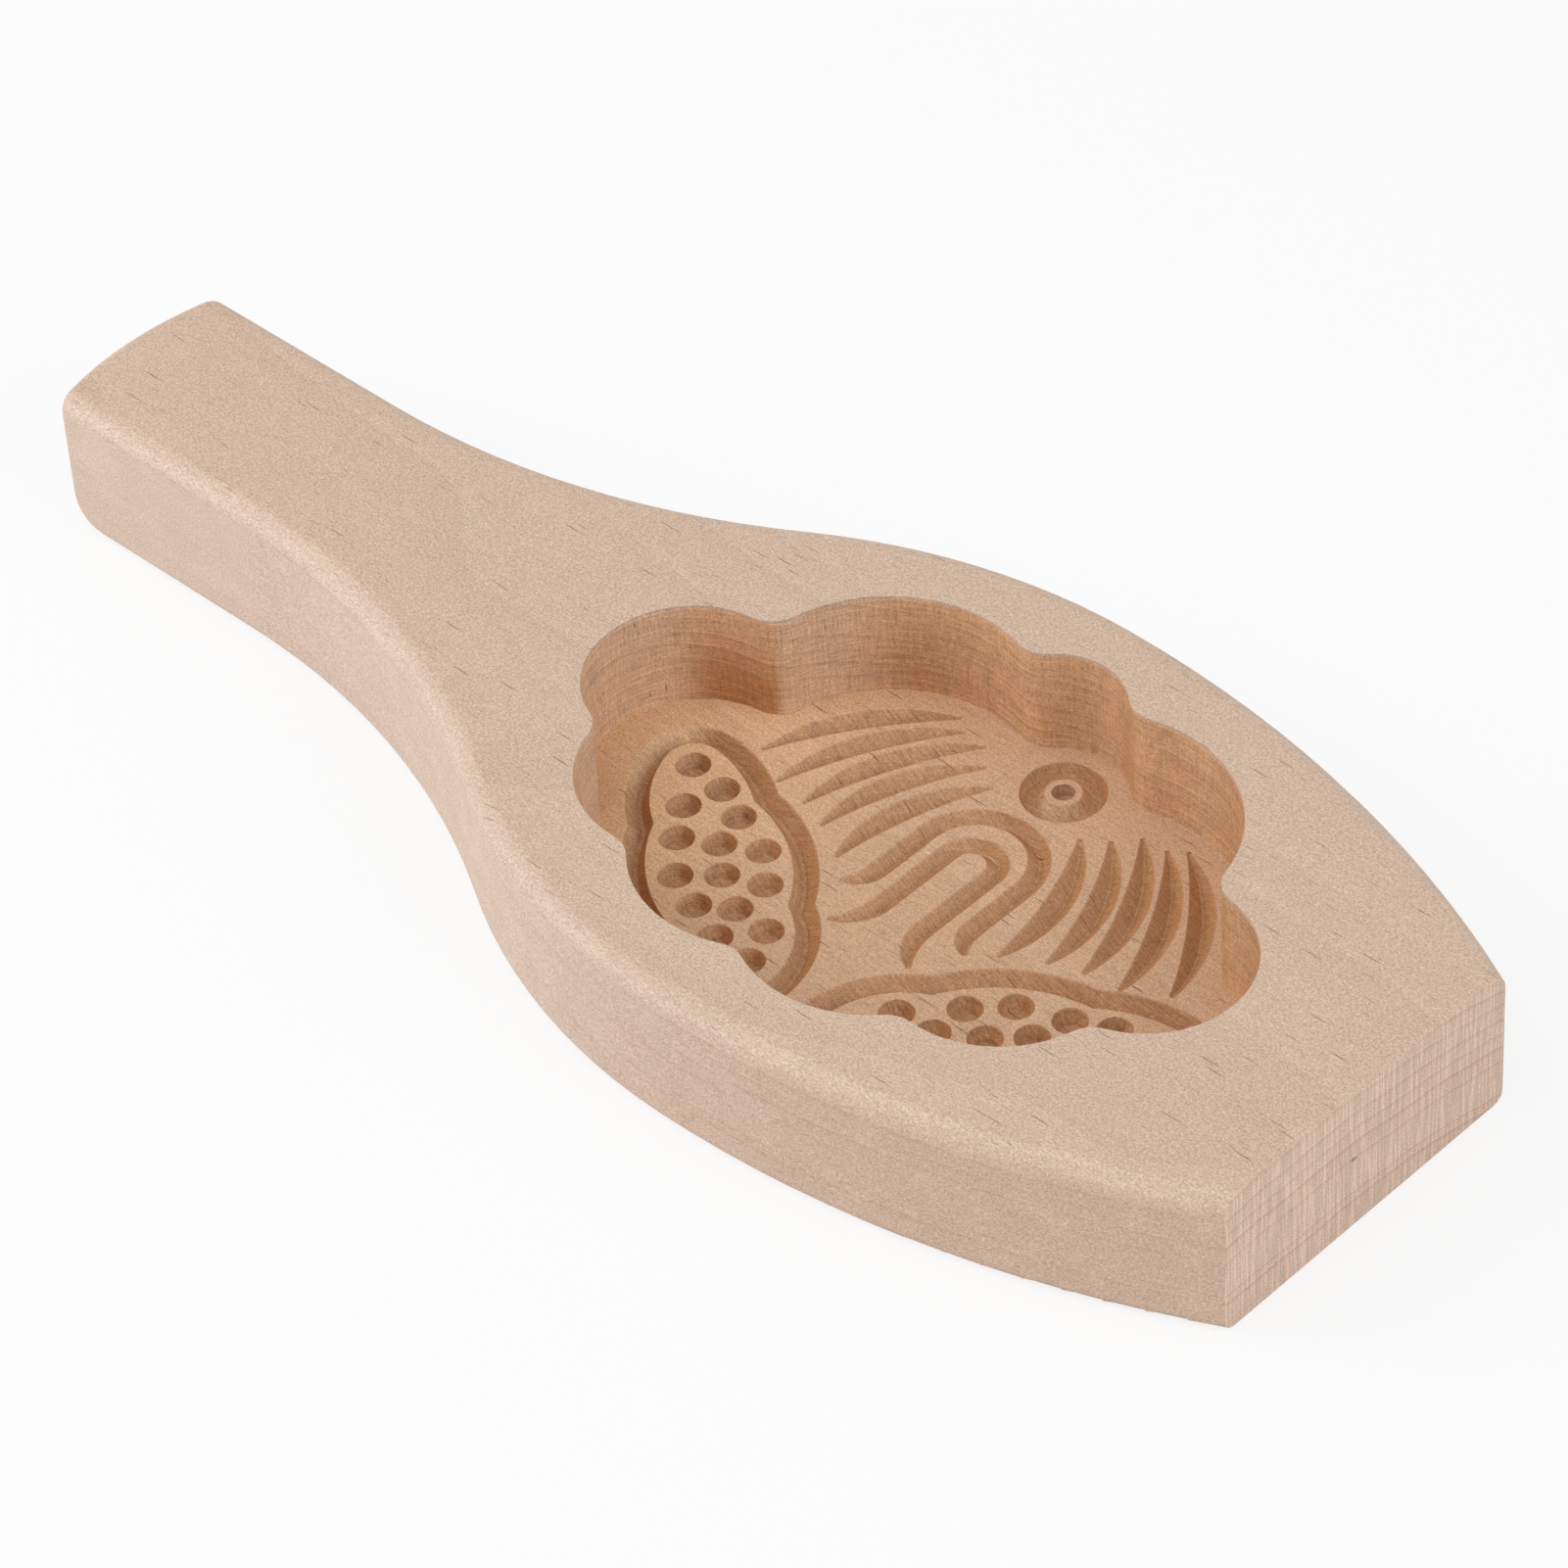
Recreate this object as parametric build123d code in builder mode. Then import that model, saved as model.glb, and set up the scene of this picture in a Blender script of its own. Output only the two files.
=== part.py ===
from build123d import *
import math
import os

# Wooden mold with a handle, carved from one beech board.
# Sizes are in millimetres. The origin is the middle of the length, on the underside.
# X runs from the handle end to the front end, Y is the width, Z is up.

# Board
board_length = 250.0
board_thickness = 25.2
handle_half_width = 17.0
front_half_width = 29.6
handle_end_bulge = 2.5
top_round = 3.4
foot_round = 1.8
handle_foot_round = 6.0

# Sides of the board: straight handle, hollow neck, full shoulder, then the cheek to the front
handle_straight_length = 42.8
neck_radius = 131.0
shoulder_radius = 99.3
flare_angle = 31.4

# Cavity
cavity_depth = 18.4
rim_cusp_round = 5.0

# The carving is the same on both sides of a line across the board at this X
motif_x = 41.0

# Grooves, bands, dots and eye, all cut into the cavity floor
leaf_depth = 2.0
leaf_bow = 3.1
hook_depth = 1.65
groove_foot = 0.3
groove_slope = 45.0
groove_end_depth = 0.25
band_width = 3.9
band_depth = 2.1
band_outer_slope = 44.0
band_inner_slope = 30.0
dot_radius = 2.7
dot_foot_radius = 1.7
dot_depth = 2.4
eye_y = 31.4
eye_radius = 6.6
eye_depth = 2.0
eye_wall_run = 1.0
boss_foot_radius = 4.2
boss_radius = 2.8
pupil_radius = 1.8
pupil_depth = 2.2
cutter_clearance = 1.0
groove_clearance = 0.3

# The points of the carving are (distance from the middle line, Y), for one half of it.

# Cavity rim: a lobe on the middle line, then each lobe's crown and the cusp that ends it
rim_first_crown_y = 40.8
rim_first_cusp = (9.6, 35.2)
rim_lobes = [
    ((33.4, 32.6), (42.4, 15.4)),
    ((60.2, 0.2), (47.4, -15.8)),
    ((40.5, -27.8), (26.4, -31.3)),
    ((12.1, -39.1), (0.0, -36.4)),
]

# Panel outline: its first cusp, each lobe's crown and end, then a nose that closes it
panel_first_cusp = (33.2, 0.5)
panel_lobes = [
    ((22.8, -3.2), (14.2, -12.3)),
    ((7.4, -18.6), (5.4, -27.0)),
    ((14.0, -30.5), (23.5, -26.6)),
    ((34.0, -21.3), (41.1, -12.4)),
    ((47.0, -7.0), (50.0, -0.5)),
]
panel_nose = (45.4, 5.0)

# Leaf grooves of one wing: the outer tip and the tip near the eye
leaves = [
    ((40.2, 9.4), (22.3, 33.7)),
    ((33.7, 5.6), (19.8, 31.9)),
    ((27.5, 4.8), (15.3, 31.5)),
    ((22.2, 3.0), (12.2, 28.1)),
    ((15.9, -0.5), (8.5, 25.5)),
]

# Nested hooks: arch radius, Y of the arch's centre, Y where the straight leg ends, tip
hooks = [
    (9.4, 12.2, 1.5, (12.3, -3.3)),
    (4.1, 11.2, -3.0, (8.0, -10.5)),
]

# Dots on one panel
dots = [
    (45.5, 0.4), (38.5, -0.7), (40.4, -6.9), (32.5, -3.4), (36.3, -12.5),
    (30.7, -9.4), (24.8, -6.3), (30.9, -18.4), (25.8, -13.9), (19.6, -11.3),
    (24.5, -21.1), (19.4, -17.8), (17.6, -23.8), (12.8, -18.2), (10.6, -24.4),
]

back_x = -board_length / 2
front_x = board_length / 2
floor_z = board_thickness - cavity_depth


def on_side(side, point):
    # A point of the half carving, placed on one side of the middle line
    return motif_x + side * point[0], point[1]


def draw_lobes(side, start, lobes):
    # Arcs through each crown to each end, drawn into the line builder that is open
    for crown, end in lobes:
        lobe = ThreePointArc(on_side(side, start), on_side(side, crown), on_side(side, end))
        start = end
    return lobe


def draw_panel(side):
    flank = draw_lobes(side, panel_first_cusp, panel_lobes)
    nose = TangentArc(flank @ 1, on_side(side, panel_nose), tangent=flank % 1)
    TangentArc(nose @ 1, on_side(side, panel_first_cusp), tangent=nose % 1)


def bowed_middle(start, end):
    # The middle of the chord, pushed away from the middle line
    chord = Vector(*end) - Vector(*start)
    outward = Vector(chord.Y, -chord.X).normalized()
    middle = (Vector(*start) + Vector(*end)) * 0.5 + outward * leaf_bow
    return middle.X, middle.Y


def on_long_side(edge):
    return abs(edge.center().Y) > handle_half_width / 2


def cutter(place, heading, depth):
    # Upright section of the cutter, square to its way over the floor: sloping sides and a narrow foot
    height = depth + groove_clearance
    foot = groove_foot / 2
    top = foot + height * math.tan(math.radians(groove_slope))
    stand = Plane(origin=(place.X, place.Y, floor_z - depth), x_dir=(-heading.Y, heading.X, 0), z_dir=heading)
    with BuildSketch(stand) as section:
        with BuildLine():
            Polyline((-foot, 0), (foot, 0), (top, height), (-top, height), close=True)
        make_face()
    return section.sketch


def sinking_groove(way, depths):
    # The cutter sinks to each depth in turn, at even steps along its way
    steps = [count / (len(depths) - 1) for count in range(len(depths))]
    loft([cutter(way @ step, way % step, depth) for step, depth in zip(steps, depths)], mode=Mode.SUBTRACT)


def deeper(share, depth):
    # From the depth at the end of a groove towards its full depth
    return groove_end_depth + share * (depth - groove_end_depth)


with BuildPart() as mold_body:
    # Board outline: one side is drawn and mirrored, then the two ends close it
    with BuildSketch():
        with BuildLine():
            handle_corner = (back_x + handle_end_bulge, handle_half_width)
            handle_straight_end = (back_x + handle_straight_length, handle_half_width)
            front_corner = (front_x, front_half_width)
            Line(handle_corner, handle_straight_end)
            neck = JernArc(handle_straight_end, (1, 0), neck_radius, flare_angle)
            shoulder = JernArc(neck @ 1, neck % 1, shoulder_radius, -flare_angle)
            TangentArc(shoulder @ 1, front_corner, tangent=(1, 0))
            mirror(about=Plane.XZ)
            Line(front_corner, (front_x, -front_half_width))
            ThreePointArc(handle_corner, (back_x, 0), (handle_corner[0], -handle_half_width))
        make_face()
    extrude(amount=board_thickness)

    # The handle end is rounded up from underneath, and both long sides are eased along top and foot
    underside = mold_body.faces().sort_by(Axis.Z)[0]
    fillet(underside.edges().sort_by(Axis.X)[0], radius=handle_foot_round)
    top_face = mold_body.faces().sort_by(Axis.Z)[-1]
    fillet(top_face.edges().filter_by(on_long_side), radius=top_round)
    underside = mold_body.faces().sort_by(Axis.Z)[0]
    fillet(underside.edges().filter_by(on_long_side), radius=foot_round)

    # Lobed cavity
    with BuildSketch(Plane.XY.offset(floor_z)):
        with BuildLine():
            ThreePointArc(on_side(-1, rim_first_cusp), (motif_x, rim_first_crown_y), on_side(1, rim_first_cusp))
            for side in (-1, 1):
                draw_lobes(side, rim_first_cusp, rim_lobes)
        rim = make_face()
        fillet(rim.vertices(), radius=rim_cusp_round)
    extrude(amount=cavity_depth + cutter_clearance, mode=Mode.SUBTRACT)

    # Scalloped band round each panel of dots: a sloping outer wall, and a steeper one round the panel
    for side in (-1, 1):
        with BuildPart(mode=Mode.SUBTRACT):
            with BuildSketch(Plane.XY.offset(floor_z)):
                with BuildLine():
                    draw_panel(side)
                make_face()
                offset(amount=band_width, kind=Kind.ARC, mode=Mode.REPLACE)
            extrude(amount=-band_depth, taper=band_outer_slope)
            with BuildSketch(Plane.XY.offset(floor_z)):
                with BuildLine():
                    draw_panel(side)
                make_face()
            extrude(amount=-band_depth, taper=-band_inner_slope, mode=Mode.SUBTRACT)

    # Drilled dots with a narrower foot
    with Locations(*[(*on_side(side, dot), floor_z - dot_depth) for side in (-1, 1) for dot in dots]):
        Cone(
            bottom_radius=dot_foot_radius,
            top_radius=dot_radius,
            height=dot_depth,
            align=(Align.CENTER, Align.CENTER, Align.MIN),
            mode=Mode.SUBTRACT,
        )

    # Eye: a ring groove leaves a tapered boss, which has a drilled pupil
    with BuildSketch(Plane(origin=(motif_x, eye_y, floor_z), x_dir=(1, 0, 0), z_dir=(0, -1, 0))):
        with BuildLine():
            Polyline(
                (boss_radius, 0),
                (boss_foot_radius, -eye_depth),
                (eye_radius - eye_wall_run, -eye_depth),
                (eye_radius, 0),
                close=True,
            )
        make_face()
    revolve(axis=Axis((motif_x, eye_y, floor_z), (0, 0, 1)), mode=Mode.SUBTRACT)
    with Locations((motif_x, eye_y, floor_z - pupil_depth)):
        Cylinder(pupil_radius, pupil_depth, align=(Align.CENTER, Align.CENTER, Align.MIN), mode=Mode.SUBTRACT)

    # Hook grooves: the cutter stays down round the arch and legs, then rises as it turns out to the tips
    for arch_radius, arch_y, leg_end_y, tip in hooks:
        down_z = floor_z - hook_depth
        with BuildLine() as arch_way:
            ThreePointArc(
                (motif_x - arch_radius, arch_y, down_z),
                (motif_x, arch_y + arch_radius, down_z),
                (motif_x + arch_radius, arch_y, down_z),
            )
            for side in (-1, 1):
                leg_x = motif_x + side * arch_radius
                Line((leg_x, arch_y, down_z), (leg_x, leg_end_y, down_z))
        way = arch_way.wire()
        sweep(cutter(way @ 0, way % 0, hook_depth), path=way, mode=Mode.SUBTRACT)
        for side in (-1, 1):
            with BuildLine() as tip_way:
                TangentArc((motif_x + side * arch_radius, leg_end_y), on_side(side, tip), tangent=(0, -1))
            sinking_groove(tip_way.wire(), [deeper(1 - (step / 6) ** 2, hook_depth) for step in range(7)])

    # Leaf grooves: the cutter dips into the floor and out again along a bowed way
    for side in (-1, 1):
        for outer_tip, eye_tip in leaves:
            middle = on_side(side, bowed_middle(outer_tip, eye_tip))
            with BuildLine() as leaf_way:
                ThreePointArc(on_side(side, outer_tip), middle, on_side(side, eye_tip))
            sinking_groove(leaf_way.wire(), [deeper(1 - (step / 4) ** 2, leaf_depth) for step in range(-4, 5)])

mold_body.part.label = "mold_body"

os.makedirs("parts", exist_ok=True)
export_step(mold_body.part, "parts/mold_body.step")
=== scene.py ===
"""Dresses the carved beech mold with wood and sets it in a plain pale studio."""

from math import cos, radians, sin

import bpy
from bpy.props import FloatProperty, FloatVectorProperty, PointerProperty
from mathutils import Matrix, Vector


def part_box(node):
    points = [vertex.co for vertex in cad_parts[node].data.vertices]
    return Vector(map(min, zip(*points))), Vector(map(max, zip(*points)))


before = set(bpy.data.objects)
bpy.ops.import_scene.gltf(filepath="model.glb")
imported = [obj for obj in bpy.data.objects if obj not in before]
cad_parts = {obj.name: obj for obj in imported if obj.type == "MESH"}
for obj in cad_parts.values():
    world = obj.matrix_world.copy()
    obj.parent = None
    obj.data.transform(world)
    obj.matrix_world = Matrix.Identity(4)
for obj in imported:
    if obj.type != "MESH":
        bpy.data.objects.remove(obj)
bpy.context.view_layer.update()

bl_info = {
    "name": "Carved Beech Mold",
    "version": (1, 0, 0),
    "blender": (4, 5, 0),
    "location": "View3D > Sidebar > Mold",
    "description": "Beech finish and plain studio for a carved wooden mold",
    "category": "Object",
}

NODE = "mold_body"
MM = 1000.0
WHITE = (1.0, 1.0, 1.0, 1.0)

# The board, in millimetres: its top, the cavity's floor, the front end, and the least height of routed wood
TOP_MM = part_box(NODE)[1][2] * MM
FLOOR_MM = 6.8
FRONT_END_MM = (120.0, 124.0)
LEAST_ROUTED_MM = (2.0, 2.2)

# Oval round the cavity: its middle along the board, then how far it reaches along and across,
# and its blurred edge, where a point that lies on the oval counts as 1
CARVING_MM = (41.0, 62.0, 43.5)
OVAL_EDGE = (1.02, 0.98)

# Middle of the eye, and the radius of its boss with the blur of its edge
EYE_MM = (41.0, 31.4)
BOSS_MM = 4.3
BOSS_BLUR_MM = 0.3

# Small brown fleck on the front end: its Y and Z, then half its width and height, and its blurred edge
FLECK_MM = (-2.7, 12.9, 0.7, 0.32)
FLECK_EDGE = (1.0, 0.5)

# Kinds of surface by the way they face: where each begins and where it is complete
FACING_END = (0.45, 0.9)
FACING_SIDE = (0.5, 0.9)
FACING_UP_ON_WALL = (0.75, 0.35)
FACING_UP_ON_FLAT = (0.85, 0.97)
FACING_UP_ON_ROUND = (0.30, 0.70)
FACING_UP_PAST_ROUND = (0.995, 0.93)
FACING_FRONT_ON_WALL = (0.5, 0.9)
FACING_FRONT_ON_SLOPE = (0.15, 0.6)
FACING_HANDLE_ON_SLOPE = (0.08, 0.55)

# Kinds of surface by their place, in millimetres: where each begins and where it is complete
BELOW_TOP = (TOP_MM - 0.02, TOP_MM - 0.7)
BELOW_FLOOR = (FLOOR_MM - 0.02, FLOOR_MM - 0.35)
# The foot of the walls, where painted shade lies towards the handle
LOW_ON_WALL = (TOP_MM - 2.0, FLOOR_MM + 3.0)
RIM = (TOP_MM - 1.1, TOP_MM - 0.5)
# Towards the handle: there the floor gets painted light and the foot of the walls painted shade
LEFT_IN_CAVITY = (30.0, -8.0)
# At the far left the groove slopes get more painted light
FAR_LEFT = (-6.0, -12.0)
# Painted light: over this span the long sides go from the lighter handle side to the darker front side
SHADED_FRONT_OF_SIDE = (-20.0, 90.0)
RINGED_SIDE = (-90.0, 40.0)

# Noises: cycles per millimetre along X, Y and Z, then their octaves and roughness
RING_WANDER = ((0.010, 0.026, 0.026), 2.0, 0.5)
RAY_DRIFT = ((0.02, 0.06, 0.06), 2.0, 0.5)
FIBRE = ((0.5, 5.0, 5.0), 3.0, 0.6)
TOOTH = ((2.4, 4.0, 4.0), 1.0, 0.7)
PORES = ((1.6, 5.0, 5.0), 2.0, 0.7)
FIGURE = ((0.10, 0.30, 0.22), 3.0, 0.6)
COMB = ((0.05, 2.2, 0.09), 3.0, 0.75)
STREAKS = ((0.25, 3.2, 0.5), 2.0, 0.65)
UPRIGHT_HATCH = ((2.4, 2.4, 0.22), 2.0, 0.7)
LEVEL_HATCH = ((0.10, 0.10, 2.6), 2.0, 0.7)

# Growth rings: how far they wander, how uneven they are, the share of a ring that each of its lines takes,
# the blur where the two lines meet, and how much the rings differ in contrast and in tone
WANDER_MM = 5.0
RING_UNEVENNESS = 0.95
DARK_LINE = 0.40
PALE_LINE = 0.20
LINE_BLUR = 0.01
RING_CONTRAST = 0.8
RING_TONE = 0.18

# Rays: the room round each and the edge of its dash, in its own sizes, how far they drift sideways,
# and the size and share of the faint ones
RAY_ROOM = 4.0
RAY_EDGE = (0.5, 0.2)
DRIFT_MM = 2.4
FAINT_RAY_SIZE = 0.55
FAINT_RAYS = 0.75

# Noise values between which wood shows rings, looks pale, or is torn
RINGED_FIGURE = (0.62, 0.38)
PALE_FIGURE = (0.45, 0.75)
TORN_PORES = (0.25, 0.60)
TORN_STREAKS = (0.40, 0.56)

# Share of the painted light, the paler groove colour, on slopes that face the front, what the far left adds,
# and on flats
LIT_SLOPE = 0.42
LIT_SLOPE_FAR_LEFT = 0.58
LIT_FLAT = 0.25

# Shares of the colours that are laid over the wood, the groove colour being painted shade and the pale on
# rounded edges a painted highlight, and what the eye's boss is spared of the painted groove shade
GROOVE_SHADE_SHARE = 0.92
BOSS_SPARED = 0.75
TORN_SHARE = 0.75
FLECK_SHARE = 0.7
PALE_RIM = 0.25
PALE_SIDE = 0.12
ROUND_HIGHLIGHT = 0.16

# Shares of the ring lines everywhere, and what each kind of surface adds
RINGS = 0.12
RINGS_ON_END = 0.26
RINGS_ON_SIDE = 0.09
RINGS_ON_WALL = 0.20
PALE_RINGS = 0.45

# Shares of the rays everywhere, and what routed wood adds
RAYS = 0.75
RAYS_ON_ROUTED = 0.20

# Marks of the tools: fine lines on the cavity walls, and the saw's comb on wood cut across the grain
HATCHED_WALL = 1.3
UPRIGHT_LINES = 0.40
LEVEL_LINES = 0.60
COMB_TEETH = (0.44, 0.62)
COMB_GAP = 0.4
COMB_EVERYWHERE = 0.05
COMB_ON_SANDED = 0.22

# How much each noise lightens and darkens the wood, and what carved wood adds
FIBRE_TONE = 0.30
TOOTH_TONE = 1.1
FIGURE_TONE = 0.12
PORE_TONE = 0.25
PORE_TONE_CARVED = 0.15
STREAK_TONE = 0.45
STREAK_TONE_CARVED = 0.60

# Fine relief: its depth in metres, its strength, and the share of each part in it. Then the gloss
BUMP_DEPTH = 0.0004
BUMP_STRENGTH = 0.4
FINE_RELIEF = 0.05
TORN_RELIEF = 0.5
RAY_RELIEF = 0.12
LINE_RELIEF = 0.15
ROUGHNESS_RANGE = 0.12
GLOSS = 0.3

# Studio, in metres: the table's half width, its gap under the board and the signs of its corners,
# then each lamp's place and width
TABLE_HALF = 6.0
TABLE_GAP = 0.0002
TABLE_CORNERS = ((-1, -1), (1, -1), (1, 1), (-1, 1))
KEY_LAMP = ((-0.25, -0.55, 1.0), 0.9)
LEFT_LAMP = ((-0.9, -0.5, 0.5), 0.8)
RIGHT_LAMP = ((1.0, 0.1, 0.55), 0.8)

# Camera
PHOTO_WIDTH_PX = 1601
SENSOR_MM = 36.0
CLIP_START = 0.01


# Shader maths


class Field:
    """A number that changes over the surface, written with Python operators."""

    def __init__(self, nodes, socket):
        self.nodes = nodes
        self.socket = socket

    def _math(self, operation, *values):
        return self.nodes.add("ShaderNodeMath", {"operation": operation}, dict(enumerate(values)))

    def __add__(self, other):
        return self._math("ADD", self, other)

    __radd__ = __add__

    def __sub__(self, other):
        return self._math("SUBTRACT", self, other)

    def __rsub__(self, other):
        return self._math("SUBTRACT", other, self)

    def __mul__(self, other):
        return self._math("MULTIPLY", self, other)

    __rmul__ = __mul__

    def __truediv__(self, other):
        return self._math("DIVIDE", self, other)

    def __rtruediv__(self, other):
        return self._math("DIVIDE", other, self)

    def __pow__(self, other):
        return self._math("POWER", self, other)

    def __rpow__(self, other):
        return self._math("POWER", other, self)

    def __neg__(self):
        return 0.0 - self

    def __abs__(self):
        return self._math("ABSOLUTE", self)

    def smooth(self, start, end):
        """0 before start, 1 after end, with a soft step between them. start may be the larger one."""
        if start > end:
            return 1.0 - self.smooth(end, start)
        settings = {"interpolation_type": "SMOOTHSTEP"}
        ends = {"Value": self, "From Min": start, "From Max": end}
        return self.nodes.add("ShaderNodeMapRange", settings, ends)


class Nodes:
    """The node tree of one material or world."""

    def __init__(self, owner):
        owner.use_nodes = True
        self.tree = owner.node_tree
        self.tree.nodes.clear()

    def add(self, kind, settings=None, inputs=None, output=0):
        """Adds a node, makes its settings, fills its sockets and returns one of its outputs, if any."""
        node = self.tree.nodes.new(kind)
        for name, value in (settings or {}).items():
            setattr(node, name, value)
        for name, value in (inputs or {}).items():
            if isinstance(value, Field):
                self.tree.links.new(value.socket, node.inputs[name])
            else:
                node.inputs[name].default_value = value
        return Field(self, node.outputs[output]) if node.outputs else None

    def vector(self, x, y, z):
        return self.add("ShaderNodeCombineXYZ", None, {"X": x, "Y": y, "Z": z})

    def part(self, vector, axis):
        return self.add("ShaderNodeSeparateXYZ", None, {"Vector": vector}, axis)

    def noise(self, place, kind):
        """Noise from 0 to 1 at a place in millimetres, of a kind that is listed with the constants."""
        cycles, octaves, roughness = kind
        scaled = self.vector(*(distance * per_mm for distance, per_mm in zip(place, cycles)))
        values = {"Vector": scaled, "Scale": 1.0, "Detail": octaves, "Roughness": roughness}
        return self.add("ShaderNodeTexNoise", {"noise_dimensions": "3D"}, values, "Fac")

    def mix(self, factor, first, second, blend="MIX"):
        settings = {"data_type": "RGBA", "blend_type": blend}
        # The colour sockets of a Mix node are its seventh and eighth inputs, and its third output
        return self.add("ShaderNodeMix", settings, {0: factor, 6: first, 7: second}, 2)


def opaque(colour):
    return (*colour, 1.0)


# Settings


class MoldWoodSettings(bpy.types.PropertyGroup):
    """Colours and sizes of the wood, some of the colours with painted light and shade"""

    face_colour: FloatVectorProperty(
        name="Face",
        description="Sanded wood on the broad faces",
        subtype="COLOR",
        default=(0.625, 0.46, 0.345),
    )
    # The sides' own sanded tone with painted light: lighter along the handle and darker near the front, for
    # how the light falls on them
    lit_handle_side_colour: FloatVectorProperty(
        name="Side",
        description="Sanded wood on the long sides of the handle",
        subtype="COLOR",
        default=(0.69, 0.53, 0.43),
    )
    shaded_front_side_colour: FloatVectorProperty(
        name="Front side",
        description="Sanded wood on the long sides near the front",
        subtype="COLOR",
        default=(0.645, 0.465, 0.35),
    )
    end_colour: FloatVectorProperty(
        name="End grain",
        description="Sanded wood across the grain",
        subtype="COLOR",
        default=(0.65, 0.485, 0.38),
    )
    # The cavity's floor and wall colours are the routed wood's own tone, partly with painted shade: their
    # deeper orange stands in for the shade and bounced light inside the cavity
    floor_colour: FloatVectorProperty(
        name="Cavity floor",
        description="Routed wood of the floor",
        subtype="COLOR",
        default=(0.615, 0.395, 0.25),
    )
    # Painted light: the floor lighter towards the handle
    lit_left_floor_colour: FloatVectorProperty(
        name="Left floor",
        description="Routed wood of the floor towards the handle",
        subtype="COLOR",
        default=(0.74, 0.475, 0.27),
    )
    wall_colour: FloatVectorProperty(
        name="Cavity wall",
        description="Routed wood along the grain",
        subtype="COLOR",
        default=(0.695, 0.42, 0.235),
    )
    front_wall_colour: FloatVectorProperty(
        name="Cavity end",
        description="Routed wood across the grain",
        subtype="COLOR",
        default=(0.69, 0.475, 0.32),
    )
    # Painted shade: the dark orange of the grooves, bands and dots stands in for the shade inside these
    # hollows
    groove_shade_colour: FloatVectorProperty(
        name="Grooves",
        description="Wood in the grooves, bands and dots",
        subtype="COLOR",
        default=(0.43, 0.205, 0.09),
    )
    # Painted light: groove slopes that face the front end, and groove flats, are paler
    lit_groove_colour: FloatVectorProperty(
        name="Groove ends",
        description="Groove slopes that face the front",
        subtype="COLOR",
        default=(0.66, 0.44, 0.26),
    )
    torn_colour: FloatVectorProperty(
        name="Torn grain",
        description="Wood cut against the grain",
        subtype="COLOR",
        default=(0.45, 0.215, 0.085),
    )
    # Painted shade: a darker, warmer tint at the foot of the walls towards the handle
    foot_shade_tint: FloatVectorProperty(
        name="Warm tint",
        description="Laid over the foot of the walls towards the handle",
        subtype="COLOR",
        default=(0.68, 0.52, 0.38),
    )
    late_colour: FloatVectorProperty(
        name="Late wood",
        description="Dark line that ends a growth ring",
        subtype="COLOR",
        default=(0.42, 0.23, 0.12),
    )
    ray_colour: FloatVectorProperty(
        name="Rays",
        description="Short dark dashes of the rays",
        subtype="COLOR",
        default=(0.20, 0.09, 0.045),
    )
    # Pale wood of the ring lines, the rim and the sides, and a painted highlight on the rounded edges
    pale_wood_and_highlight_colour: FloatVectorProperty(
        name="Pale wood",
        description="Pale ring lines, the rim and the rounded edges",
        subtype="COLOR",
        default=(0.80, 0.68, 0.58),
    )
    ring_spacing: FloatProperty(
        name="Ring spacing",
        description="Mean width of a growth ring",
        unit="LENGTH",
        default=0.0028,
    )
    ring_radius: FloatProperty(
        name="Ring radius",
        description="Radius of the rings about the heart",
        unit="LENGTH",
        default=0.2,
    )
    heart_side: FloatProperty(
        name="Heart side",
        description="Y of the top of the rings",
        unit="LENGTH",
        default=-0.022,
    )
    ray_length: FloatProperty(
        name="Ray length",
        description="Length of a ray along the grain",
        unit="LENGTH",
        default=0.005,
    )
    ray_width: FloatProperty(
        name="Ray width",
        description="Width of a ray across the grain",
        unit="LENGTH",
        default=0.00024,
    )
    ray_height: FloatProperty(
        name="Ray height",
        description="Height of a ray up the board",
        unit="LENGTH",
        default=0.0022,
    )
    grain_rise: FloatProperty(
        name="Grain rise",
        description="Rise of the grain along the board, per unit of length",
        default=0.022,
    )
    roughness: FloatProperty(
        name="Roughness",
        description="Roughness of sanded wood",
        subtype="FACTOR",
        default=0.62,
    )


class MoldStudioSettings(bpy.types.PropertyGroup):
    """Camera, table and lamps"""

    azimuth: FloatProperty(
        name="Azimuth",
        description="Camera angle round the mold",
        subtype="ANGLE",
        default=radians(46.209),
    )
    elevation: FloatProperty(
        name="Elevation",
        description="Camera angle over the table",
        subtype="ANGLE",
        default=radians(42.456),
    )
    roll: FloatProperty(
        name="Roll",
        description="Camera turn about its view",
        subtype="ANGLE",
        default=radians(-3.839),
    )
    distance: FloatProperty(
        name="Distance",
        description="Distance of the camera",
        unit="LENGTH",
        default=1.01985,
    )
    aim: FloatVectorProperty(
        name="Aim",
        description="Point that the camera looks at",
        subtype="XYZ",
        unit="LENGTH",
        default=(0.002128, 0.012276, -0.0014),
    )
    focal_px: FloatProperty(
        name="Focal length",
        description="In pixels of the photograph",
        default=7006.9,
    )
    floor_colour: FloatVectorProperty(
        name="Floor",
        description="Pale table",
        subtype="COLOR",
        default=(0.86, 0.86, 0.86),
    )
    floor_glow: FloatProperty(
        name="Floor white",
        description="Share of plain white that the camera sees",
        subtype="FACTOR",
        default=0.82,
    )
    world_strength: FloatProperty(
        name="Sky strength",
        description="Even light from all round",
        default=0.50,
    )
    key_power: FloatProperty(
        name="Key power",
        description="Large soft lamp above the near side",
        unit="POWER",
        default=4.2,
    )
    left_power: FloatProperty(
        name="Left power",
        description="Soft lamp beyond the handle",
        unit="POWER",
        default=4.8,
    )
    right_power: FloatProperty(
        name="Right power",
        description="Soft lamp facing the front end",
        unit="POWER",
        default=4.4,
    )


# Wood


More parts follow.
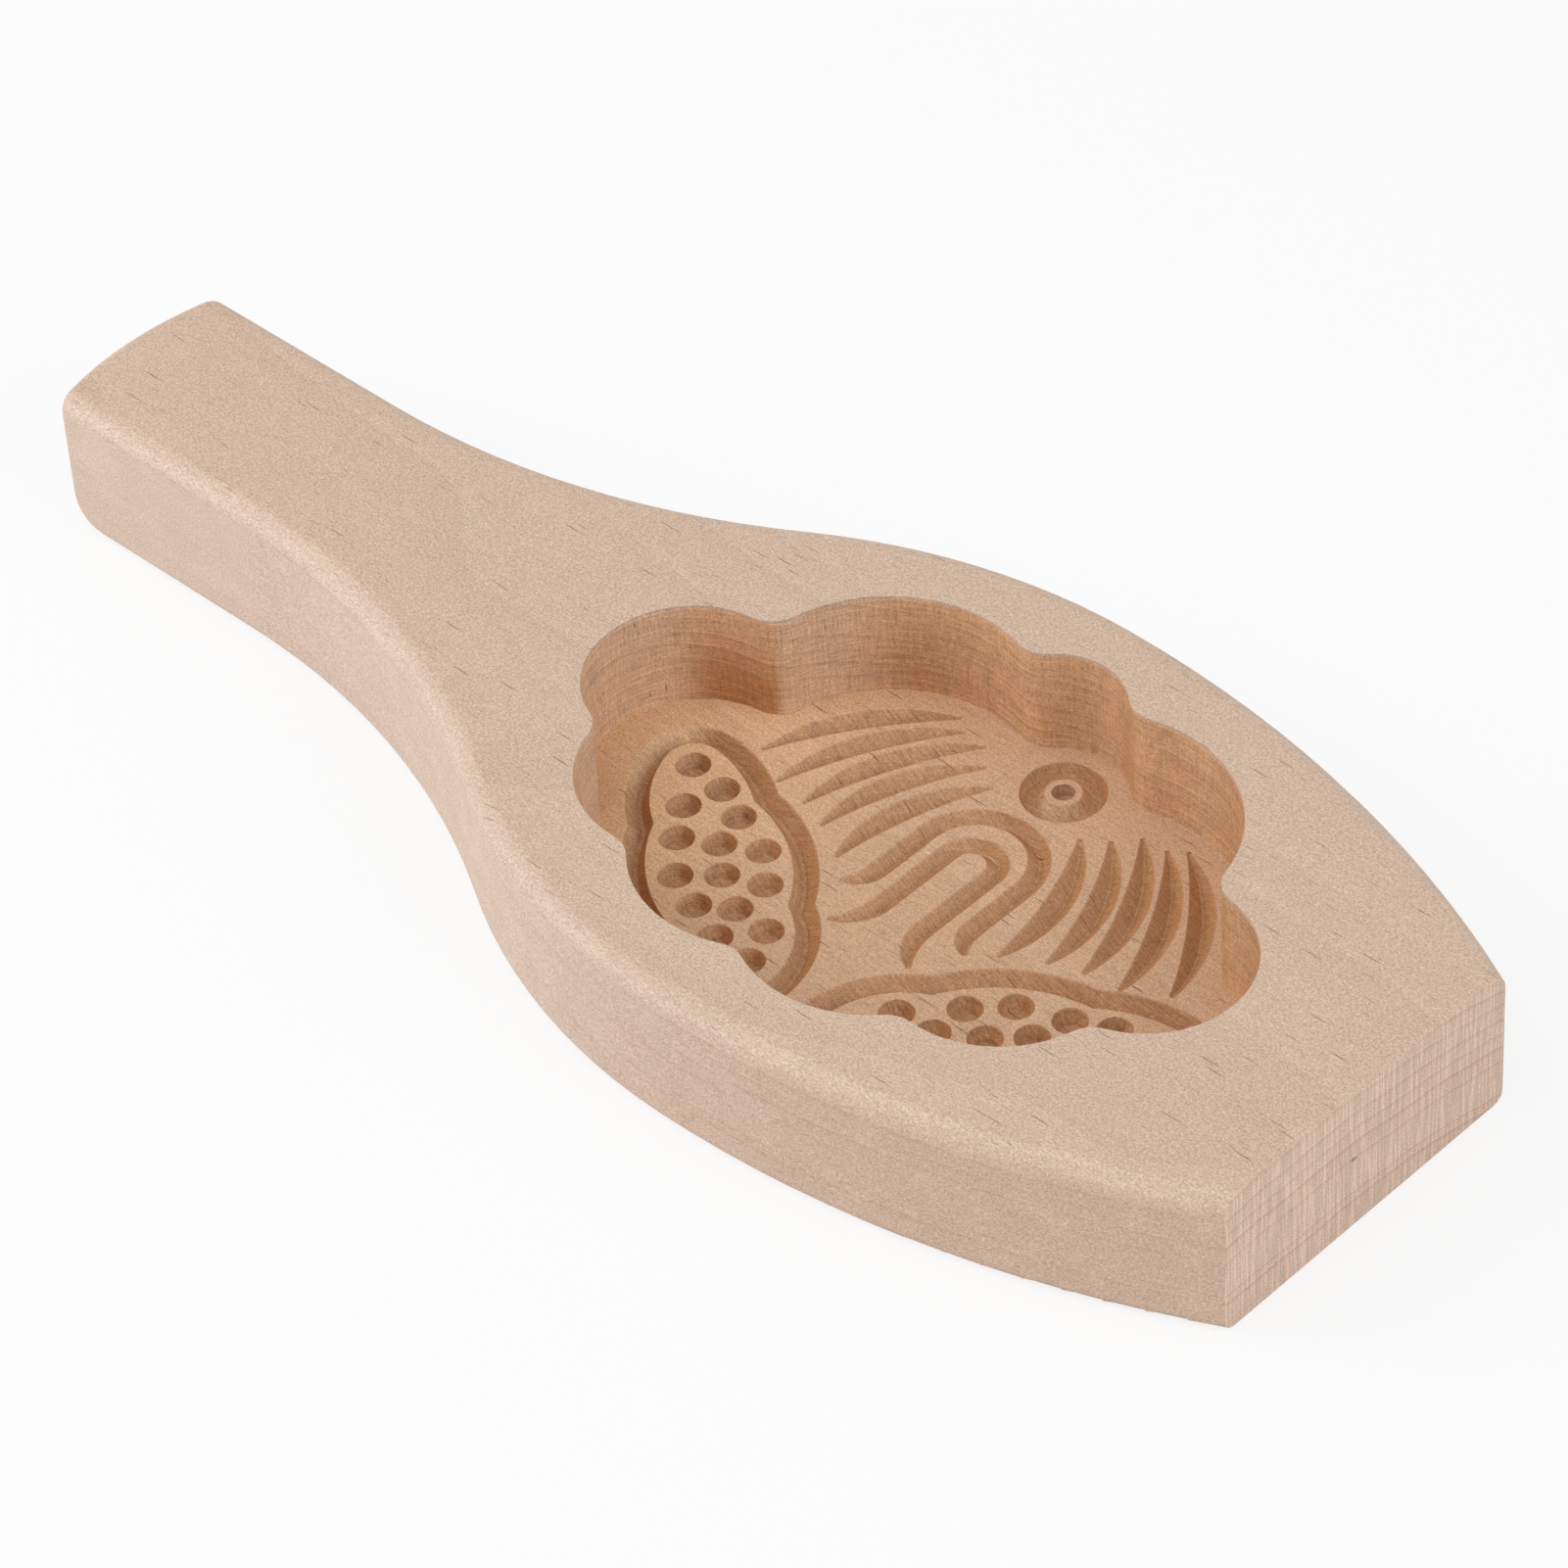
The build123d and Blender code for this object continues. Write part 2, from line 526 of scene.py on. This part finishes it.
def growth_rings(nodes, wood, place):
    """Dark and pale line of each ring, and its tone. Rings are wide arcs about a heart under the board."""
    x, y, z = place
    wander = nodes.noise(place, RING_WANDER) - 0.5
    from_heart = y - wood.heart_side * MM
    arc = from_heart * from_heart * (0.5 / (wood.ring_radius * MM))
    count = (z + arc + x * wood.grain_rise + wander * WANDER_MM) / (wood.ring_spacing * MM)
    ring = {"W": count, "Scale": 1.0, "Randomness": RING_UNEVENNESS}
    nearest = {"voronoi_dimensions": "1D", "feature": "F1"}
    to_edge = {"voronoi_dimensions": "1D", "feature": "DISTANCE_TO_EDGE"}
    middle = nodes.add("ShaderNodeTexVoronoi", nearest, ring, "W")
    tone = nodes.part(nodes.add("ShaderNodeTexVoronoi", nearest, ring, "Color"), "X")
    edge = nodes.add("ShaderNodeTexVoronoi", to_edge, ring, "Distance")
    outer = (count - middle).smooth(-LINE_BLUR, LINE_BLUR)
    dark = edge.smooth(DARK_LINE, 0.0) * outer * (tone * RING_CONTRAST + (1.0 - RING_CONTRAST))
    pale = edge.smooth(PALE_LINE, 0.0) * (1.0 - outer)
    return dark, pale, tone


def ray_dashes(nodes, wood, place, size):
    """Rays are thin upright ribbons along the grain. Each stands alone in a cell RAY_ROOM times its size."""
    x, y, z = place
    ray = (wood.ray_length, wood.ray_width, wood.ray_height)
    length, width, height = (measure * MM * RAY_ROOM * size for measure in ray)
    drift = (nodes.noise(place, RAY_DRIFT) - 0.5) * DRIFT_MM
    cells = nodes.vector(x / length, (y + drift) / width, z / height)
    one_in_each = {"Vector": cells, "Scale": 1.0, "Randomness": 1.0}
    distance = nodes.add("ShaderNodeTexVoronoi", {"feature": "F1"}, one_in_each, "Distance")
    return distance.smooth(RAY_EDGE[0] / RAY_ROOM, RAY_EDGE[1] / RAY_ROOM)


class Board:
    """Where a point of the board lies, and the kinds of surface there as masks from 0 to 1."""

    def __init__(self, nodes):
        spot = nodes.add("ShaderNodeTexCoord", None, None, "Object")
        normal = nodes.add("ShaderNodeNewGeometry", None, None, "Normal")
        self.place = tuple(nodes.part(spot, axis) * MM for axis in "XYZ")
        x, y, z = self.place
        facing_x, facing_y, facing_z = (nodes.part(normal, axis) for axis in "XYZ")
        self.end_cut = abs(facing_x).smooth(*FACING_END)
        self.long_side = abs(facing_y).smooth(*FACING_SIDE)

        # Routed walls and floor of the cavity, inside an oval round the carving
        oval = ((x - CARVING_MM[0]) / CARVING_MM[1]) ** 2.0 + (y / CARVING_MM[2]) ** 2.0
        self.routed = oval.smooth(*OVAL_EDGE) * z.smooth(*BELOW_TOP) * z.smooth(*LEAST_ROUTED_MM)
        self.sanded = 1.0 - self.routed
        self.wall = abs(facing_z).smooth(*FACING_UP_ON_WALL)
        self.front_wall = facing_x.smooth(*FACING_FRONT_ON_WALL)
        self.rim = z.smooth(*RIM) * self.routed * self.wall
        self.to_left = x.smooth(*LEFT_IN_CAVITY)

        # Grooves, bands, dots and the eye's boss
        self.carved = z.smooth(*BELOW_FLOOR)
        self.against_grain = (-facing_x).smooth(*FACING_HANDLE_ON_SLOPE) * self.routed
        # Painted light: slopes that face the front, more at the far left, and flat groove floors take the
        # paler groove colour
        front_slope = facing_x.smooth(*FACING_FRONT_ON_SLOPE)
        lit_slope = LIT_SLOPE + x.smooth(*FAR_LEFT) * LIT_SLOPE_FAR_LEFT
        self.painted_light_cut = front_slope * lit_slope + facing_z.smooth(*FACING_UP_ON_FLAT) * LIT_FLAT
        from_eye = ((x - EYE_MM[0]) ** 2.0 + (y - EYE_MM[1]) ** 2.0) ** 0.5
        self.boss = from_eye.smooth(BOSS_MM + BOSS_BLUR_MM, BOSS_MM - BOSS_BLUR_MM)

        # Outside of the board
        # Rounded edges, where a painted highlight is laid
        on_round = facing_z.smooth(*FACING_UP_ON_ROUND) * facing_z.smooth(*FACING_UP_PAST_ROUND)
        self.rounded = on_round * self.sanded
        fleck = ((y - FLECK_MM[0]) / FLECK_MM[2]) ** 2.0 + ((z - FLECK_MM[1]) / FLECK_MM[3]) ** 2.0
        self.fleck = fleck.smooth(*FLECK_EDGE) * self.end_cut * x.smooth(*FRONT_END_MM)


def plain_wood(nodes, wood, board, torn):
    """Colour of each kind of surface, before its rings, rays and grain. Holds painted light on the handle's
    sides, the left floor and the groove slopes facing the front, and painted shade in the grooves and at the
    foot of the walls; the cavity's deeper orange is partly painted shade.
    """
    x, _, z = board.place
    # Painted light: sides lighter along the handle and darker towards the front
    side = nodes.mix(x.smooth(*SHADED_FRONT_OF_SIDE), opaque(wood.lit_handle_side_colour), opaque(wood.shaded_front_side_colour))
    outside = nodes.mix(board.long_side, opaque(wood.face_colour), side)
    outside = nodes.mix(board.end_cut, outside, opaque(wood.end_colour))

    # Painted shade at the foot of the walls towards the handle
    foot_shade = board.to_left * z.smooth(*LOW_ON_WALL)
    along = nodes.mix(foot_shade, opaque(wood.wall_colour), opaque(wood.foot_shade_tint), "MULTIPLY")
    upright = nodes.mix(board.front_wall, along, opaque(wood.front_wall_colour))
    # Grooves: painted shade, with painted light on slopes that face the front and on flats
    grooves = nodes.mix(board.painted_light_cut, opaque(wood.groove_shade_colour), opaque(wood.lit_groove_colour))
    # Painted light: the floor lighter towards the handle
    floor = nodes.mix(board.to_left, opaque(wood.floor_colour), opaque(wood.lit_left_floor_colour))
    # Floor and walls of the cavity, partly painted shade in their deeper orange
    inside = nodes.mix(board.wall, floor, upright)
    inside = nodes.mix(board.boss * board.carved, inside, floor)
    # Painted shade over the grooves, bands and dots, less on the eye's boss
    inside = nodes.mix(board.carved * (GROOVE_SHADE_SHARE - board.boss * BOSS_SPARED), inside, grooves)
    inside = nodes.mix(torn * TORN_SHARE, inside, opaque(wood.torn_colour))
    return nodes.mix(board.routed, outside, inside)


def lined_wood(nodes, wood, board, colour, figure, rays):
    """The plain wood with its growth rings, rays, pale rim and sides, a painted highlight on the rounded
    edges, and the fleck on the front end.
    """
    x = board.place[0]
    side = board.long_side * board.sanded
    ringed_side = side * figure.smooth(*RINGED_FIGURE) * x.smooth(*RINGED_SIDE)
    ring_share = RINGS + board.end_cut * board.sanded * RINGS_ON_END
    ring_share = ring_share + ringed_side * RINGS_ON_SIDE + board.routed * board.wall * RINGS_ON_WALL
    dark, pale, tone = growth_rings(nodes, wood, board.place)
    colour = nodes.mix((dark + tone * RING_TONE) * ring_share, colour, opaque(wood.late_colour))
    colour = nodes.mix(pale * ring_share * PALE_RINGS, colour, opaque(wood.pale_wood_and_highlight_colour))
    colour = nodes.mix(rays, colour, opaque(wood.ray_colour))
    pale_side = side * figure.smooth(*PALE_FIGURE)
    # Pale rim and sides, and a painted highlight on the rounded edges
    pale_and_highlight_share = board.rim * PALE_RIM + pale_side * PALE_SIDE + board.rounded * ROUND_HIGHLIGHT
    colour = nodes.mix(pale_and_highlight_share, colour, opaque(wood.pale_wood_and_highlight_colour))
    return nodes.mix(board.fleck * FLECK_SHARE, colour, opaque(wood.ray_colour))


def tool_marks(nodes, board):
    """Fine upright and level lines of the cutter on the walls, and the saw's comb on both ends."""
    upright, level, comb = (nodes.noise(board.place, kind) for kind in (UPRIGHT_HATCH, LEVEL_HATCH, COMB))
    hatch = (upright - 0.5) * UPRIGHT_LINES + (level - 0.5) * LEVEL_LINES
    comb_share = board.end_cut * (board.sanded * COMB_ON_SANDED + COMB_EVERYWHERE)
    combed = (comb.smooth(*COMB_TEETH) - COMB_GAP) * comb_share
    return combed + hatch * board.routed * board.wall * HATCHED_WALL


def beech_material(wood):
    """Beech as a solid: rings lie nearly level in the board and rays stand upright along the grain."""
    material = bpy.data.materials.new("beech_sanded")
    nodes = Nodes(material)
    board = Board(nodes)
    routed, carved = board.routed, board.carved
    kinds = (FIBRE, TOOTH, PORES, FIGURE, STREAKS)
    fibre, tooth, pores, figure, streaks = (nodes.noise(board.place, kind) for kind in kinds)
    torn = board.against_grain * (pores.smooth(*TORN_PORES) + streaks.smooth(*TORN_STREAKS)) * 0.5

    # Rays show as dashes on level faces, and are left out where wood faces sideways or is a sanded end
    broad = (1.0 - board.long_side) * (1.0 - board.end_cut * board.sanded)
    ray_share = broad * (RAYS + routed * RAYS_ON_ROUTED)
    strong_rays = ray_dashes(nodes, wood, board.place, 1.0)
    faint_rays = ray_dashes(nodes, wood, board.place, FAINT_RAY_SIZE)
    rays = (strong_rays + faint_rays * FAINT_RAYS) * ray_share

    colour = plain_wood(nodes, wood, board, torn)
    colour = lined_wood(nodes, wood, board, colour, figure, rays)
    lines = tool_marks(nodes, board)
    grain = (fibre - 0.5) * FIBRE_TONE + (tooth - 0.5) * TOOTH_TONE + (figure - 0.5) * FIGURE_TONE
    grain = grain + (pores - 0.5) * (PORE_TONE + routed * carved * PORE_TONE_CARVED)
    grain = grain + (streaks - 0.5) * routed * (STREAK_TONE + carved * STREAK_TONE_CARVED)
    colour = nodes.mix(1.0, colour, 1.0 + lines + grain, "MULTIPLY")

    relief = (fibre + tooth) * FINE_RELIEF + pores * torn * TORN_RELIEF + lines * LINE_RELIEF
    relief = relief - strong_rays * ray_share * RAY_RELIEF
    bump = {"Strength": BUMP_STRENGTH, "Distance": BUMP_DEPTH, "Height": relief}
    finish = {
        "Base Color": colour,
        "Roughness": wood.roughness + fibre * ROUGHNESS_RANGE,
        "Specular IOR Level": GLOSS,
        "Normal": nodes.add("ShaderNodeBump", None, bump),
    }
    shader = nodes.add("ShaderNodeBsdfPrincipled", None, finish)
    nodes.add("ShaderNodeOutputMaterial", None, {"Surface": shader})
    return material


class MOLD_OT_beech(bpy.types.Operator):
    """Gives the carved board its beech finish, with painted light and shade in its colours"""

    bl_idname = "mold.beech"
    bl_label = "Beech finish"

    def execute(self, context):
        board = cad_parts[NODE]
        material = beech_material(context.scene.mold_wood)
        if not board.material_slots:
            raise RuntimeError("the board has no material slot to fill")
        for place in board.material_slots:
            place.link = "OBJECT"
            place.material = material
        return {"FINISHED"}


# Studio


def shown_rays(nodes):
    """1 for the rays that show a background: from the camera, off gloss and through glass."""
    kinds = ("Is Camera Ray", "Is Glossy Ray", "Is Transmission Ray")
    camera, glossy, through = (nodes.add("ShaderNodeLightPath", None, None, kind) for kind in kinds)
    return camera + glossy + through


def floor_material(studio):
    """A matt pale table that keeps the board's shadow and is mixed with plain white where it is seen."""
    material = bpy.data.materials.new("pale_table")
    nodes = Nodes(material)
    matt = nodes.add("ShaderNodeBsdfDiffuse", None, {"Color": opaque(studio.floor_colour)})
    white = nodes.add("ShaderNodeEmission", None, {"Color": WHITE, "Strength": 1.0})
    share = shown_rays(nodes) * studio.floor_glow
    surface = nodes.add("ShaderNodeMixShader", None, {0: share, 1: matt, 2: white})
    nodes.add("ShaderNodeOutputMaterial", None, {"Surface": surface})
    return material


def white_world(studio):
    """Even light, with plain white behind the scene."""
    world = bpy.data.worlds.new("studio")
    nodes = Nodes(world)
    light = nodes.add("ShaderNodeBackground", None, {"Color": WHITE, "Strength": studio.world_strength})
    backdrop = nodes.add("ShaderNodeBackground", None, {"Color": WHITE, "Strength": 1.0})
    surface = nodes.add("ShaderNodeMixShader", None, {0: shown_rays(nodes), 1: light, 2: backdrop})
    nodes.add("ShaderNodeOutputWorld", None, {"Surface": surface})
    return world


def soft_lamp(name, stand, power):
    """A square lamp at its stand, aimed at the middle of the board's foot."""
    place, width = stand
    lamp = bpy.data.lights.new(name, "AREA")
    lamp.shape = "SQUARE"
    lamp.size = width
    lamp.energy = power
    holder = bpy.data.objects.new(name, lamp)
    holder.location = place
    holder.rotation_euler = (-Vector(place)).to_track_quat("-Z", "Y").to_euler()
    bpy.context.scene.collection.objects.link(holder)


class MOLD_OT_studio(bpy.types.Operator):
    """Adds the pale table, the even light and the soft lamps"""

    bl_idname = "mold.studio"
    bl_label = "Studio"

    def execute(self, context):
        studio = context.scene.mold_studio
        table = bpy.data.meshes.new("table")
        corners = [(across * TABLE_HALF, along * TABLE_HALF, -TABLE_GAP) for across, along in TABLE_CORNERS]
        table.from_pydata(corners, [], [(0, 1, 2, 3)])
        table.materials.append(floor_material(studio))
        floor = bpy.data.objects.new("table", table)
        context.scene.collection.objects.link(floor)
        context.scene.world = white_world(studio)
        soft_lamp("key_lamp", KEY_LAMP, studio.key_power)
        soft_lamp("left_lamp", LEFT_LAMP, studio.left_power)
        soft_lamp("right_lamp", RIGHT_LAMP, studio.right_power)
        context.scene.view_settings.view_transform = "Standard"
        return {"FINISHED"}


class MOLD_OT_camera(bpy.types.Operator):
    """Sets the camera where the photograph was taken from"""

    bl_idname = "mold.camera"
    bl_label = "Camera"

    def execute(self, context):
        studio = context.scene.mold_studio
        azimuth, elevation, roll = studio.azimuth, studio.elevation, studio.roll
        back = Vector((sin(azimuth) * cos(elevation), -cos(azimuth) * cos(elevation), sin(elevation)))
        level = (-back).cross(Vector((0.0, 0.0, 1.0))).normalized()
        upward = level.cross(-back)
        right = level * cos(roll) + upward * sin(roll)
        up = upward * cos(roll) - level * sin(roll)
        lens = bpy.data.cameras.new("camera")
        lens.sensor_width = SENSOR_MM
        lens.lens = studio.focal_px / PHOTO_WIDTH_PX * SENSOR_MM
        lens.clip_start = CLIP_START
        camera = bpy.data.objects.new("camera", lens)
        turn = Matrix((right, up, back)).transposed().to_4x4()
        camera.matrix_world = Matrix.Translation(back * studio.distance + Vector(studio.aim)) @ turn
        context.scene.collection.objects.link(camera)
        context.scene.camera = camera
        return {"FINISHED"}


# Add-on


STEPS = (MOLD_OT_beech, MOLD_OT_studio, MOLD_OT_camera)


class MOLD_PT_panel(bpy.types.Panel):
    """Sizes and colours of the mold, and the steps that make it"""

    bl_label = "Mold"
    bl_idname = "MOLD_PT_panel"
    bl_space_type = "VIEW_3D"
    bl_region_type = "UI"
    bl_category = "Mold"

    def draw(self, context):
        for group in (context.scene.mold_wood, context.scene.mold_studio):
            box = self.layout.box()
            for name in group.__annotations__:
                box.prop(group, name)
        for step in STEPS:
            self.layout.operator(step.bl_idname)


CLASSES = (MoldWoodSettings, MoldStudioSettings, *STEPS, MOLD_PT_panel)


def register():
    for item in CLASSES:
        bpy.utils.register_class(item)
    bpy.types.Scene.mold_wood = PointerProperty(type=MoldWoodSettings)
    bpy.types.Scene.mold_studio = PointerProperty(type=MoldStudioSettings)


def unregister():
    del bpy.types.Scene.mold_studio
    del bpy.types.Scene.mold_wood
    for item in reversed(CLASSES):
        bpy.utils.unregister_class(item)


def main():
    register()
    bpy.ops.mold.beech()
    bpy.ops.mold.studio()
    bpy.ops.mold.camera()


if __name__ == "__main__":
    main()
